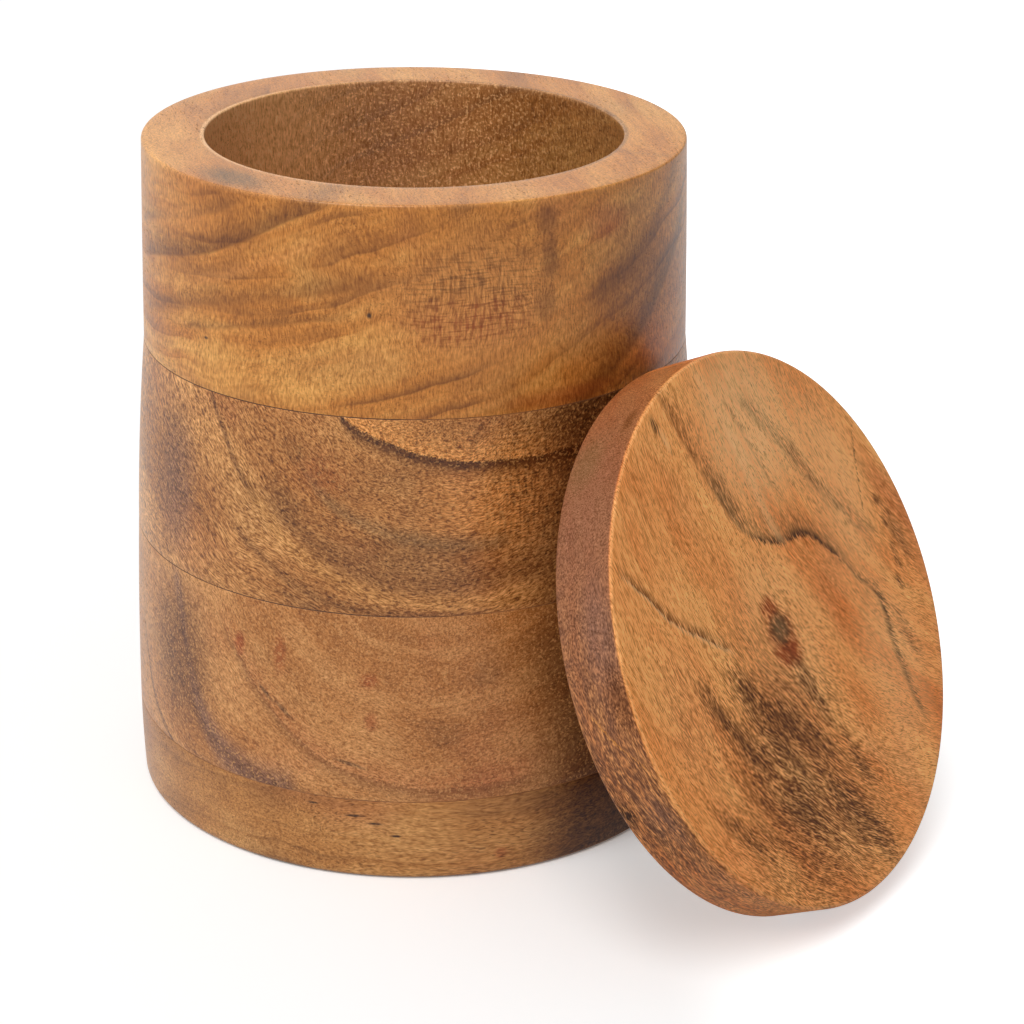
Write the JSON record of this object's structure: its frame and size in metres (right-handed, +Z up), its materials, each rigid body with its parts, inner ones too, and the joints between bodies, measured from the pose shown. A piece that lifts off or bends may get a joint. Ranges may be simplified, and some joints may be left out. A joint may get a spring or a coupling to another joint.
{
  "type": "wooden storage jar with lid",
  "caption": "Round turned wooden storage jar of stacked glued layers, with a thick loose lid leaning beside it.",
  "frame": {"origin": "on the jar's axis, at the flat underside that it stands on; the leaning lid is beside it", "axes": "+Z up along the jar's axis; the lid leans on the wall towards +X and -Y"},
  "size_m": [0.2119, 0.2158, 0.1769],
  "materials": {
    "base_timber": "oiled satin, long grain round the wall",
    "lower_timber": "oiled satin, end grain at the front",
    "middle_timber": "oiled satin, end grain at the front",
    "top_timber": "oiled satin, long grain running into end grain",
    "lid_timber": "oiled satin, flat-sawn face with a small knot",
    "plug_timber": "oiled satin",
    "glue": "dark hairline of set glue"
  },
  "bodies": {
    "jar": {"base_disc": "base_timber", "lower_ring": "lower_timber", "middle_ring": "middle_timber", "top_ring": "top_timber", "base_glue_line": "glue", "lower_glue_line": "glue", "upper_glue_line": "glue"},
    "lid": {"lid_disc": "lid_timber", "lid_glue_line": "glue", "lid_plug": "plug_timber"}
  },
  "joints": [
    {"name": "lid_lift", "type": "slide", "parent": "jar", "child": "lid", "axis": [0, 0, 1], "range_m": [0, 0.19]}
  ]
}
